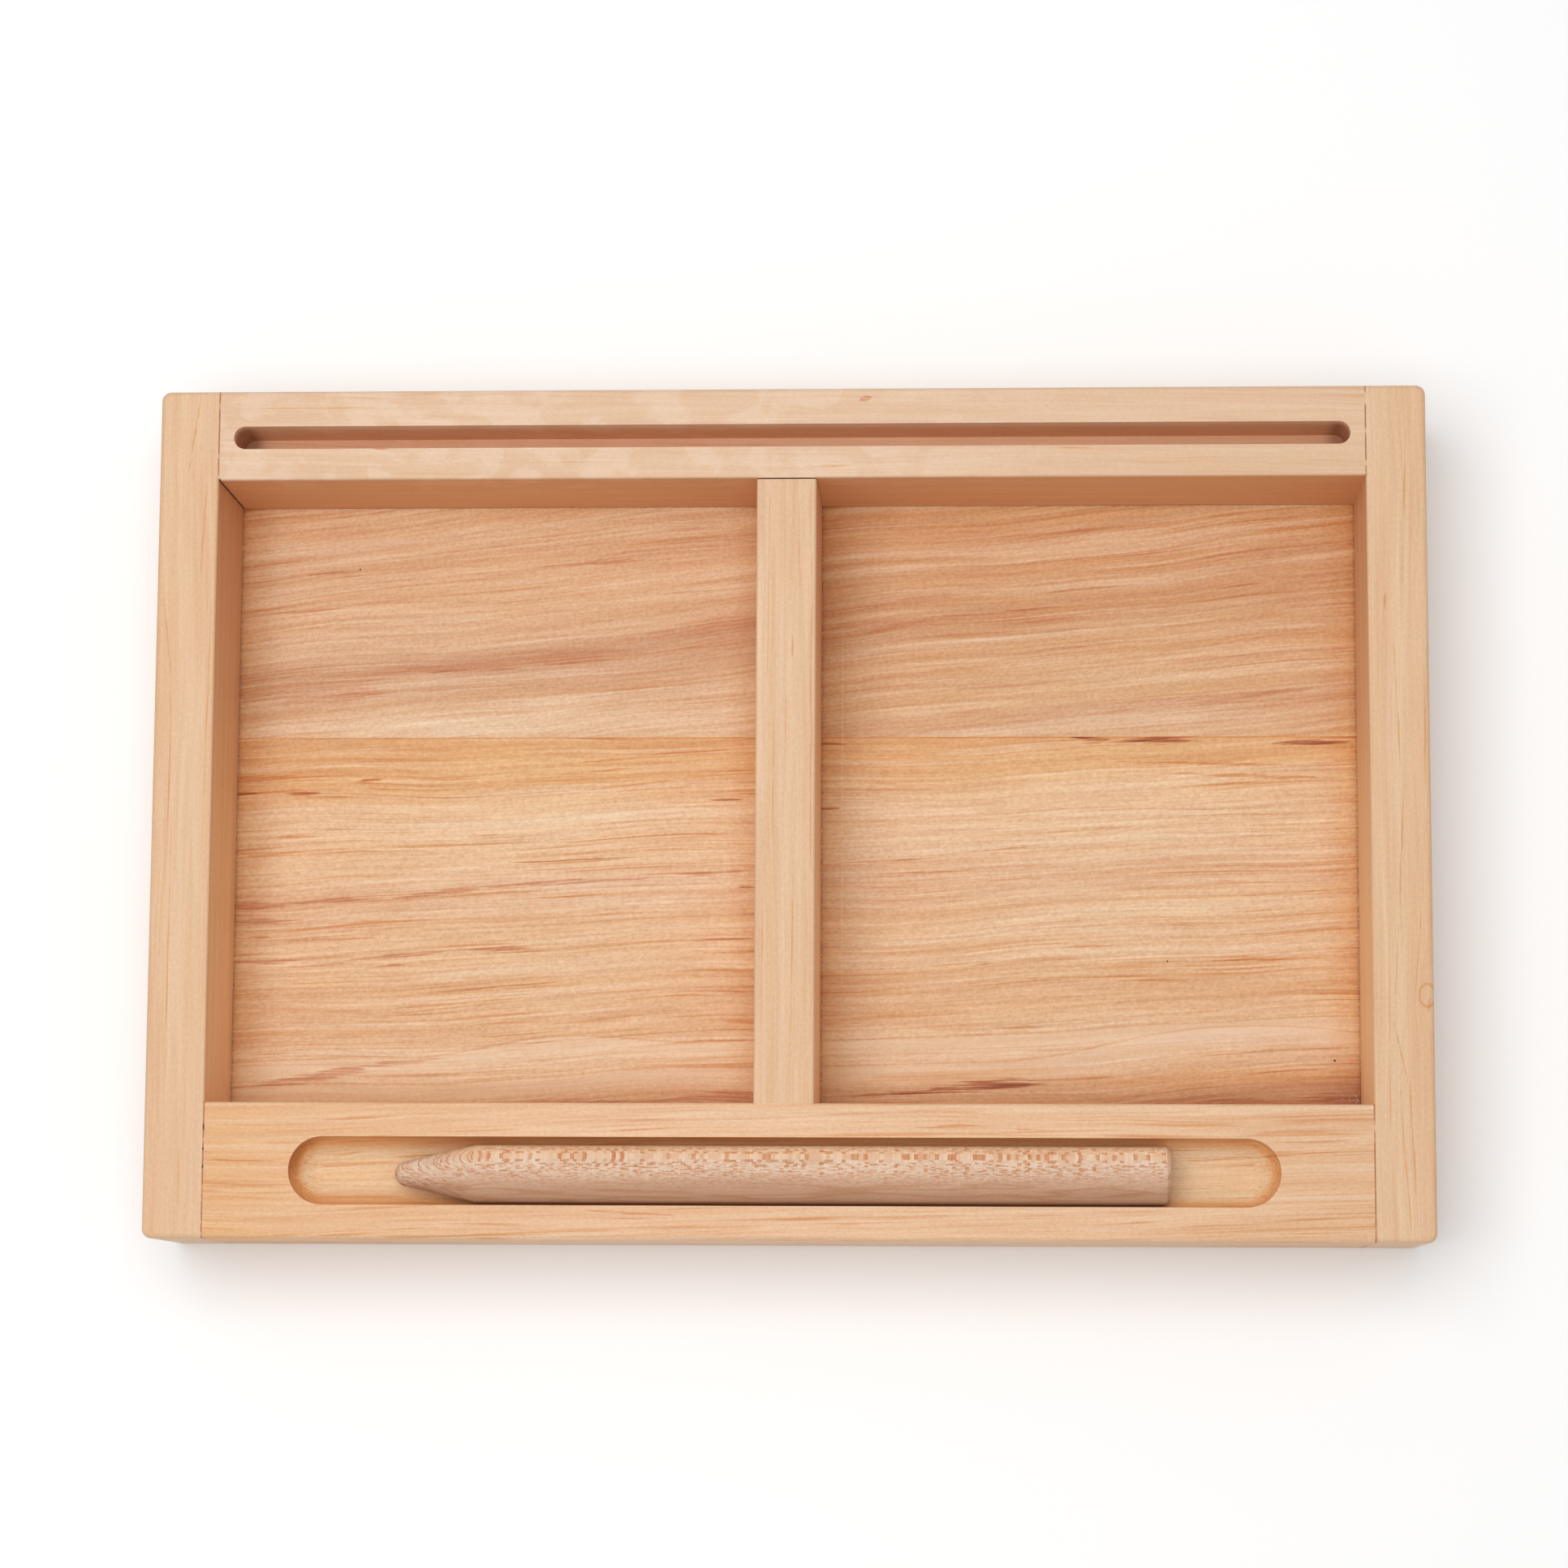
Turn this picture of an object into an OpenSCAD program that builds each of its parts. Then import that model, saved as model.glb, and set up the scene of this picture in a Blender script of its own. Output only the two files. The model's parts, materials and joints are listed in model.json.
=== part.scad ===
// Wooden drawer organizer tray with a loose wooden stylus.
// Four rails are butt-jointed with hidden dowels around a two-board floor. A divider makes
// two compartments, the back rail has a card slot and the front rail a pen groove.
// Millimetres. +X runs along the rails to the right, +Y from the front rail to the back rail,
// +Z up. The origin is on the surface that the tray stands on, under its middle.

/* [Frame] */
// Overall length of the tray, left to right
tray_w = 340; // [300:1:420]
// Overall depth of the tray, front to back
tray_d = 228; // [180:1:300]
// Height of the rails
rail_h = 48; // [40:0.5:64]
// Radius of the four upright outer corners
corner_r = 2.5; // [1.6:0.1:5]
// Radius of the outer top edges
top_r = 1.4; // [0.5:0.1:1.5]
// Radius of the outer bottom edges
foot_r = 0.8; // [0.3:0.1:1.5]
// Radius of the rims of the compartments
rim_r = 0.8; // [0.3:0.1:1.5]

/* [Rails] */
// Width of the two side rails
side_rail_w = 16; // [14:0.5:22]
// Width of the back rail, which holds the card slot
back_rail_w = 24.5; // [22:0.5:36]
// Width of the front rail, which holds the pen groove
front_rail_w = 36; // [32:0.5:50]
// Width of the divider between the compartments
divider_w = 16; // [10:0.5:24]
// How far the divider stands right of the middle
divider_offset = -0.5; // [-40:0.1:40]
// Open joint between the divider and the back rail
divider_gap = 0.4; // [0.1:0.1:1]

/* [Floor] */
// Thickness of the floor boards
floor_t = 5; // [4:0.5:8]
// Height of the floor's underside above the surface that the tray stands on
floor_lift = 3; // [2:0.5:6]
// How far the floor reaches into the rails
tongue = 5; // [3:0.5:7]
// Room for the floor to swell, at its edges
floor_end_gap = 0.3; // [0.2:0.1:1]
// Room above the floor, in the rails' grooves
floor_fit = 0.1; // [0.05:0.05:0.3]
// Depth of the back floor board that shows in front of the back rail
back_board_shown = 64.5; // [40:0.5:90]

/* [Card slot] */
// Width of the slot, front to back
slot_w = 6.2; // [5:0.1:8]
// Depth of the slot
slot_depth = 18; // [10:0.5:20]
// Wood left behind the slot
slot_setback = 9.8; // [6:0.1:14]
// Wood left between each end of the slot and the side rail
slot_end_land = 4; // [2:0.5:30]

/* [Stylus] */
// Diameter of the stylus
stylus_d = 15.3; // [10:0.1:18.6]
// Length of the stylus
stylus_len = 204; // [150:1:206]
// Length of its pointed end
taper_len = 21.4; // [15:0.1:35]
// Radius of its blunt nose
nose_r = 3.3; // [1.5:0.1:4.5]
// Chamfer around its flat end
butt_chamfer = 0.9; // [0.3:0.1:2]

/* [Pen groove] */
// Room beside the stylus, on each side
groove_play = 1.35; // [0.6:0.05:3]
// Finger room beyond each end of the stylus
finger_room = 28.5; // [15:0.5:30]
// Depth of the groove
groove_depth = 11; // [9.5:0.5:14]
// How far the groove's middle lies right of the tray's middle
groove_offset = -0.8; // [-2:0.1:2]
// How far the stylus lies right of the groove's middle
stylus_shift = -0.45; // [-8:0.05:8]
// Angle that the stylus has rolled up the front side of the groove, in degrees
stylus_roll = 40; // [0:1:60]
// Gap between the stylus and the groove under it
stylus_gap = 0.2; // [0.1:0.05:0.3]

/* [Dowels] */
// Diameter of the hidden dowels
dowel_d = 6; // [4:0.5:8]
// Length of a dowel
dowel_len = 30; // [24:1:40]
// How far each dowel reaches across its joint, into the side rail or out of the divider
dowel_bite = 10; // [8:0.5:12]
// Glue gap around a dowel
dowel_fit = 0.05; // [0.02:0.01:0.1]
// Glue room past each end of a dowel
dowel_end_room = 0.5; // [0.3:0.1:1.5]
// Chamfer of a dowel's ends
dowel_chamfer = 0.6; // [0.2:0.1:1]
// Distance between the two dowels at a front corner
front_dowel_pitch = 18; // [12:0.5:20]
// Distance between the two dowels at a back corner
back_dowel_pitch = 12; // [10:0.5:14]

/* [Hidden] */
$fn = 96;

// How far a cutter runs past the face that it opens
over = 1;
left = -1;
right = 1;

// Inner faces of the rails
inner_x = tray_w / 2 - side_rail_w;
inner_front = front_rail_w - tray_d / 2;
inner_back = tray_d / 2 - back_rail_w;
front_mid = (inner_front - tray_d / 2) / 2;
back_mid = (inner_back + tray_d / 2) / 2;

// Floor
floor_top = floor_lift + floor_t;
floor_x = inner_x + tongue;
floor_front = inner_front - tongue;
floor_back = inner_back + tongue;
seam_y = inner_back - back_board_shown;

// Divider
divider_left = divider_offset - divider_w / 2;
divider_right = divider_offset + divider_w / 2;

// Card slot
slot_y = tray_d / 2 - slot_setback - slot_w / 2;
slot_half_run = inner_x - slot_end_land - slot_w / 2;
slot_bottom = rail_h - slot_depth;

// Pen groove
groove_r = stylus_d / 2 + groove_play;
groove_half_run = stylus_len / 2 + finger_room - groove_r;
groove_axis_z = rail_h - groove_depth + groove_r;

// Stylus, which lies a small gap above the groove
stylus_drop = groove_play - stylus_gap;
stylus_z = groove_axis_z - stylus_drop * cos(stylus_roll);
stylus_y = front_mid - stylus_drop * sin(stylus_roll);
stylus_tip = groove_offset + stylus_shift - stylus_len / 2;

// The taper leaves the shoulder and is tangent to the nose, whose arc is drawn in short steps
nose_steps = 10;
shoulder_run = taper_len - nose_r;
taper_angle = atan(stylus_d / 2 / shoulder_run)
    - asin(nose_r / norm([stylus_d / 2, shoulder_run]));

// Dowels lie midway between the floor and the card slot
dowel_z = (floor_top + slot_bottom) / 2;

wood_rail = [0.90, 0.74, 0.55];
wood_divider = [0.91, 0.76, 0.58];
wood_floor_back = [0.84, 0.63, 0.46];
wood_floor_front = [0.87, 0.66, 0.45];
wood_stylus = [0.84, 0.70, 0.59];
wood_dowel = [0.93, 0.83, 0.66];

// ---- Outside shape of the frame ----

// What a rounded corner loses: the corner is at the origin, with the wood towards -X and -Y
module corner_waste(r) {
    difference() {
        translate([-r, -r]) square(r + over);
        translate([-r, -r]) circle(r);
    }
}

// Upright section of the frame, from one outer face to the other, with eased edges
module eased_section(width) {
    difference() {
        translate([-width / 2, 0]) square([width, rail_h]);
        for (side = [0, 1]) mirror([side, 0]) {
            translate([width / 2, rail_h]) corner_waste(top_r);
            translate([width / 2, 0]) mirror([0, 1]) corner_waste(foot_r);
        }
    }
}

// Extrudes an upright section along X or along Y, centred on the origin
module along_x(length) {
    translate([-length / 2, 0, 0]) rotate([90, 0, 90]) linear_extrude(length) children();
}

module along_y(length) {
    translate([0, length / 2, 0]) rotate([90, 0, 0]) linear_extrude(length) children();
}

// The whole frame as one block: the rails are the parts of it between their joints
module frame_block() {
    along_x(tray_w - 2 * corner_r) eased_section(tray_d);
    along_y(tray_d - 2 * corner_r) eased_section(tray_w);
    for (x = [-1, 1], y = [-1, 1])
        translate([x * (tray_w / 2 - corner_r), y * (tray_d / 2 - corner_r), 0])
            rotate_extrude() intersection() {
                eased_section(2 * corner_r);
                square([corner_r, rail_h]);
            }
}

module between(low, high) {
    translate(low) cube(high - low);
}

// ---- What is cut from the rails ----

// Upright section of the flare that eases both rims of an opening
module rim_flare(width) {
    difference() {
        translate([-width / 2 - rim_r, rail_h - rim_r]) square([width + 2 * rim_r, rim_r + over]);
        for (side = [-1, 1])
            translate([side * (width / 2 + rim_r), rail_h - rim_r]) circle(rim_r);
    }
}

// Rounded rim of one compartment, mitred at its corners
module compartment_rim(x_low, x_high) {
    width = x_high - x_low;
    depth = inner_back - inner_front;
    translate([(x_low + x_high) / 2, (inner_front + inner_back) / 2, 0]) intersection() {
        along_y(depth + 2 * rim_r) rim_flare(width);
        along_x(width + 2 * rim_r) rim_flare(depth);
    }
}

module compartment_rims() {
    compartment_rim(-inner_x, divider_left);
    compartment_rim(divider_right, inner_x);
}

// Groove around the inside of the frame that the floor sits in
module floor_pocket() {
    between(
        [-floor_x - floor_end_gap, floor_front - floor_end_gap, floor_lift],
        [floor_x + floor_end_gap, floor_back + floor_end_gap, floor_top + floor_fit]
    );
}

module card_slot() {
    translate([0, slot_y, slot_bottom]) {
        for (side = [-1, 1])
            translate([side * slot_half_run, 0, 0]) cylinder(d = slot_w, h = slot_depth + over);
        translate([-slot_half_run, -slot_w / 2, 0])
            cube([2 * slot_half_run, slot_w, slot_depth + over]);
    }
}

// Cut by a round-nosed cutter: a trough with a ball end and upright walls above it
module pen_groove() {
    translate([groove_offset, front_mid, groove_axis_z]) {
        rotate([0, 90, 0]) cylinder(r = groove_r, h = 2 * groove_half_run, center = true);
        translate([-groove_half_run, -groove_r, 0])
            cube([2 * groove_half_run, 2 * groove_r, groove_depth]);
        for (side = [-1, 1]) translate([side * groove_half_run, 0, 0]) {
            sphere(groove_r);
            cylinder(r = groove_r, h = groove_depth);
        }
    }
}

// ---- Dowels and their holes ----

// Dowel along +X from the origin
module dowel() {
    r = dowel_d / 2;
    rotate([90, 0, 90]) rotate_extrude() polygon([
        [0, 0],
        [r - dowel_chamfer, 0],
        [r, dowel_chamfer],
        [r, dowel_len - dowel_chamfer],
        [r - dowel_chamfer, dowel_len],
        [0, dowel_len]
    ]);
}

module dowel_hole() {
    translate([-dowel_end_room, 0, 0]) rotate([0, 90, 0])
        cylinder(d = dowel_d + 2 * dowel_fit, h = dowel_len + 2 * dowel_end_room);
}

// Puts children where the dowels of one corner start, inside the side rail
module at_corner_dowels(side, rail_mid, pitch) {
    for (step = [-1, 1])
        translate([side * (inner_x + dowel_bite), rail_mid + step * pitch / 2, dowel_z])
            rotate([0, 0, side == right ? 180 : 0]) children();
}

module at_front_dowels(side) {
    at_corner_dowels(side, front_mid, front_dowel_pitch) children();
}

module at_back_dowels(side) {
    at_corner_dowels(side, back_mid, back_dowel_pitch) children();
}

// Puts children where the divider's dowels start, inside the rail at each end of it
module at_divider_dowels() {
    translate([divider_offset, inner_front - dowel_bite, dowel_z]) rotate([0, 0, 90]) children();
    translate([divider_offset, inner_back + dowel_bite, dowel_z]) rotate([0, 0, -90]) children();
}

// ---- Pieces ----

module side_rail(side) {
    x = [side * tray_w / 2, side * inner_x];
    difference() {
        intersection() {
            frame_block();
            between([min(x), -tray_d / 2, 0], [max(x), tray_d / 2, rail_h]);
        }
        floor_pocket();
        compartment_rims();
        at_front_dowels(side) dowel_hole();
        at_back_dowels(side) dowel_hole();
    }
}

module left_side_rail() {
    color(wood_rail) side_rail(left);
}

module right_side_rail() {
    color(wood_rail) side_rail(right);
}

module back_rail() {
    color(wood_rail) difference() {
        intersection() {
            frame_block();
            between([-inner_x, inner_back, 0], [inner_x, tray_d / 2, rail_h]);
        }
        floor_pocket();
        compartment_rims();
        card_slot();
        at_back_dowels(left) dowel_hole();
        at_back_dowels(right) dowel_hole();
        at_divider_dowels() dowel_hole();
    }
}

module front_rail() {
    color(wood_rail) difference() {
        intersection() {
            frame_block();
            between([-inner_x, -tray_d / 2, 0], [inner_x, inner_front, rail_h]);
        }
        floor_pocket();
        compartment_rims();
        pen_groove();
        at_front_dowels(left) dowel_hole();
        at_front_dowels(right) dowel_hole();
        at_divider_dowels() dowel_hole();
    }
}

module centre_divider() {
    color(wood_divider) difference() {
        between(
            [divider_left, inner_front, floor_top],
            [divider_right, inner_back - divider_gap, rail_h]
        );
        compartment_rims();
        at_divider_dowels() dowel_hole();
    }
}

module bottom_board_back() {
    color(wood_floor_back)
        between([-floor_x, seam_y, floor_lift], [floor_x, floor_back, floor_top]);
}

module bottom_board_front() {
    color(wood_floor_front)
        between([-floor_x, floor_front, floor_lift], [floor_x, seam_y, floor_top]);
}

module front_left_dowels() {
    color(wood_dowel) at_front_dowels(left) dowel();
}

module front_right_dowels() {
    color(wood_dowel) at_front_dowels(right) dowel();
}

module back_left_dowels() {
    color(wood_dowel) at_back_dowels(left) dowel();
}

module back_right_dowels() {
    color(wood_dowel) at_back_dowels(right) dowel();
}

module divider_dowels() {
    color(wood_dowel) at_divider_dowels() dowel();
}

// Half section of the stylus: the nose is at the origin and the length runs up +Y
module stylus_section() {
    shoulder_r = stylus_d / 2;
    nose_turn = 90 - taper_angle;
    polygon([
        for (step = [0:nose_steps])
            let (turn = nose_turn * step / nose_steps)
                [nose_r * sin(turn), nose_r * (1 - cos(turn))],
        [shoulder_r, taper_len],
        [shoulder_r, stylus_len - butt_chamfer],
        [shoulder_r - butt_chamfer, stylus_len],
        [0, stylus_len]
    ]);
}

module stylus() {
    color(wood_stylus) translate([stylus_tip, stylus_y, stylus_z])
        rotate([90, 0, 90]) rotate_extrude() stylus_section();
}

left_side_rail();
right_side_rail();
back_rail();
front_rail();
centre_divider();
bottom_board_back();
bottom_board_front();
stylus();
front_left_dowels();
front_right_dowels();
back_left_dowels();
back_right_dowels();
divider_dowels();
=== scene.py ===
import json
import math
import bpy
from mathutils import Matrix, Vector


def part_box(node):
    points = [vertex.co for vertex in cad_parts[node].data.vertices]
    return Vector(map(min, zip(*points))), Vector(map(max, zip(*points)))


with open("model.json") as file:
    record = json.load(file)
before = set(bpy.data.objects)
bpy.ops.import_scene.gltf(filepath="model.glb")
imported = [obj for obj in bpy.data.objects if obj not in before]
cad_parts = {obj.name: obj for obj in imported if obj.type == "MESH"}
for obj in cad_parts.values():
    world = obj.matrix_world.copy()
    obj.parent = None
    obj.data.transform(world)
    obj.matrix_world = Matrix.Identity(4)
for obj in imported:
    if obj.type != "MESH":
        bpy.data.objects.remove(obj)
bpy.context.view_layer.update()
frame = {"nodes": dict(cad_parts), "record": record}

# ---------------------------------------------------------------------------------------------
# Places, in millimetres, read from the frame
# ---------------------------------------------------------------------------------------------

MM = 0.001


def span(node, axis):
    """Lowest and highest place of a CAD node along one axis, in millimetres."""
    low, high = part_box(node)
    return low[axis] / MM, high[axis] / MM


X, Y, Z = 0, 1, 2
INNER_X = span("right_side_rail", X)[0]
BACK_Y = span("back_rail", Y)[0]
FRONT_Y = span("front_rail", Y)[1]
SEAM_Y = span("bottom_board_back", Y)[0]
FLOOR_Z = span("bottom_board_back", Z)[1]
RIM_Z = span("back_rail", Z)[1]
DIVIDER_X = span("centre_divider", X)
DIVIDER_MIDDLE = sum(DIVIDER_X) / 2
DIVIDER_HALF = (DIVIDER_X[1] - DIVIDER_X[0]) / 2
STYLUS_Y = sum(span("stylus", Y)) / 2
STYLUS_Z = sum(span("stylus", Z)) / 2

# The card slot's middle and half width, and the place where its ends begin to darken
SLOT_Y = 101.1
SLOT_HALF = 3.15
SLOT_END_X = 143.5

# The pen groove: its middle, half the length of its straight part, and its radius
GROOVE_X = -0.8
GROOVE_Y = -96.0
GROOVE_HALF = 121.5
GROOVE_R = 9.0

# ---------------------------------------------------------------------------------------------
# Shader building blocks
# ---------------------------------------------------------------------------------------------


class Field:
    """A number that varies over a surface. Arithmetic on fields adds Math nodes to the material."""

    def __init__(self, graph, socket):
        self.graph = graph
        self.socket = socket

    def __add__(self, other):
        return self.graph.math("ADD", self, other)

    def __radd__(self, other):
        return self.graph.math("ADD", other, self)

    def __sub__(self, other):
        return self.graph.math("SUBTRACT", self, other)

    def __rsub__(self, other):
        return self.graph.math("SUBTRACT", other, self)

    def __mul__(self, other):
        return self.graph.math("MULTIPLY", self, other)

    def __rmul__(self, other):
        return self.graph.math("MULTIPLY", other, self)

    def __abs__(self):
        return self.graph.math("ABSOLUTE", self)


class Graph:
    """The shader nodes of one material. x, y and z are the place in the row frame, in millimetres."""

    def __init__(self, name):
        self.material = bpy.data.materials.new(name)
        self.material.use_nodes = True
        self.nodes = self.material.node_tree.nodes
        self.links = self.material.node_tree.links
        self.shader = self.nodes["Principled BSDF"]
        place = self.add("ShaderNodeTexCoord").outputs["Object"]
        scaled = self.add("ShaderNodeVectorMath", operation="SCALE")
        self.feed(scaled.inputs[0], place)
        scaled.inputs["Scale"].default_value = 1 / MM
        self.place = scaled.outputs[0]
        split = self.add("ShaderNodeSeparateXYZ")
        self.feed(split.inputs[0], self.place)
        self.x = Field(self, split.outputs[0])
        self.y = Field(self, split.outputs[1])
        self.z = Field(self, split.outputs[2])

    def add(self, kind, **settings):
        node = self.nodes.new(kind)
        for name, value in settings.items():
            setattr(node, name, value)
        return node

    def feed(self, socket, value):
        if isinstance(value, Field):
            value = value.socket
        if isinstance(value, bpy.types.NodeSocket):
            self.links.new(value, socket)
        else:
            socket.default_value = value

    def math(self, operation, *values):
        node = self.add("ShaderNodeMath", operation=operation)
        for socket, value in zip(node.inputs, values):
            self.feed(socket, value)
        return Field(self, node.outputs[0])

    def largest(self, fields):
        """The largest of several fields."""
        result = fields[0]
        for field in fields[1:]:
            result = self.math("MAXIMUM", result, field)
        return result

    def smallest(self, fields):
        """The smallest of several fields."""
        result = fields[0]
        for field in fields[1:]:
            result = self.math("MINIMUM", result, field)
        return result

    def distance(self, across, along, x, y):
        """How far (across, along) is from (x, y)."""
        node = self.add("ShaderNodeVectorMath", operation="DISTANCE")
        self.feed(node.inputs[0], self.vector(across, along, 0.0))
        node.inputs[1].default_value = (x, y, 0.0)
        return Field(self, node.outputs["Value"])

    def random(self, x, y):
        """A random number from 0 to 1 for each pair of whole numbers."""
        node = self.add("ShaderNodeTexWhiteNoise", noise_dimensions="2D")
        self.feed(node.inputs["Vector"], self.vector(x, y, 0.0))
        return Field(self, node.outputs["Value"])

    def vector(self, x, y, z):
        node = self.add("ShaderNodeCombineXYZ")
        for socket, value in zip(node.inputs, (x, y, z)):
            self.feed(socket, value)
        return node.outputs[0]

    def noise(self, point, along, across, seed=0.0, detail=2.0, roughness=0.5, twist=0.0):
        """Smooth noise of mean 0.5; along and across are its cycles per millimetre."""
        placed = self.add("ShaderNodeVectorMath", operation="MULTIPLY_ADD")
        self.feed(placed.inputs[0], point)
        placed.inputs[1].default_value = (along, across, across)
        placed.inputs[2].default_value = (seed, seed * 1.7, seed * 0.6)
        node = self.add("ShaderNodeTexNoise", noise_dimensions="3D")
        self.feed(node.inputs["Vector"], placed.outputs[0])
        node.inputs["Scale"].default_value = 1.0
        node.inputs["Detail"].default_value = detail
        node.inputs["Roughness"].default_value = roughness
        node.inputs["Distortion"].default_value = twist
        return Field(self, node.outputs["Fac"])

    def step(self, field, low, high):
        """0 below low, 1 above high, and smooth between them. It falls instead where low is above high."""
        node = self.add("ShaderNodeMapRange", interpolation_type="SMOOTHSTEP")
        self.feed(node.inputs["Value"], field)
        rising = low < high
        node.inputs["From Min"].default_value = low if rising else high
        node.inputs["From Max"].default_value = high if rising else low
        node.inputs["To Min"].default_value = 0.0 if rising else 1.0
        node.inputs["To Max"].default_value = 1.0 if rising else 0.0
        return Field(self, node.outputs["Result"])

    def band(self, field, middle, half_width, soft=0.5):
        """1 within half_width of the middle, fading to 0 over soft times half_width beyond it."""
        return self.step(abs(field - middle), half_width * (1 + soft), half_width * (1 - soft))

    def ramp(self, field, stops):
        """A colour for each place: stops are (value, colour), and it is smooth between them."""
        low, high = stops[0][0], stops[-1][0]
        node = self.add("ShaderNodeValToRGB")
        node.color_ramp.interpolation = "EASE"
        self.feed(node.inputs[0], (field - low) * (1 / (high - low)))
        elements = node.color_ramp.elements
        while len(elements) < len(stops):
            elements.new(0.5)
        for element, (value, color) in zip(elements, stops):
            element.position = (value - low) / (high - low)
            element.color = (*color, 1.0)
        return node.outputs[0]

    def blend(self, amount, first, second, how="MIX"):
        """first where amount is 0 and second, or first times second for MULTIPLY, where it is 1."""
        node = self.add("ShaderNodeMix", data_type="RGBA", blend_type=how)
        self.feed(node.inputs[0], amount)
        for socket, color in ((node.inputs[6], first), (node.inputs[7], second)):
            self.feed(socket, (*color, 1.0) if isinstance(color, tuple) else color)
        return node.outputs[2]

    def tint(self, amount, color, by):
        """color, multiplied by the colour by where amount is 1."""
        return self.blend(amount, color, by, how="MULTIPLY")

    def finish(self, color, roughness, height, specular=0.3):
        """Sends the colour, the roughness and a height in millimetres to the shader."""
        bump = self.add("ShaderNodeBump")
        bump.inputs["Strength"].default_value = 1.0
        bump.inputs["Distance"].default_value = MM
        self.feed(bump.inputs["Height"], height)
        self.feed(self.shader.inputs["Base Color"], color)
        self.feed(self.shader.inputs["Roughness"], roughness)
        self.feed(self.shader.inputs["Normal"], bump.outputs[0])
        self.shader.inputs["Specular IOR Level"].default_value = specular
        return self.material


# ---------------------------------------------------------------------------------------------
# Wood
# ---------------------------------------------------------------------------------------------

# Tints: they multiply the wood's colour
REDDISH = (0.91, 0.76, 0.60)
RUST = (0.84, 0.57, 0.34)
FINE_LINE = (0.88, 0.66, 0.42)
SEAM = (0.88, 0.66, 0.45)
# Grime and painted shade where the walls meet the floor
GRIME_AND_SHADE = (0.40, 0.32, 0.28)
BARE = (1.0, 1.0, 1.0)

# Colours: they replace the wood's colour
CREAM = (0.77, 0.57, 0.40)
GLUE = (0.40, 0.15, 0.07)
GAP = (0.05, 0.02, 0.012)
DUST = (0.50, 0.42, 0.36)
SCRATCH = (0.75, 0.62, 0.50)

# How deep a face's own tint reaches, and how far the rounded edge at the rim does, in millimetres
SKIN = 0.6
EDGE = 2.0


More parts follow.
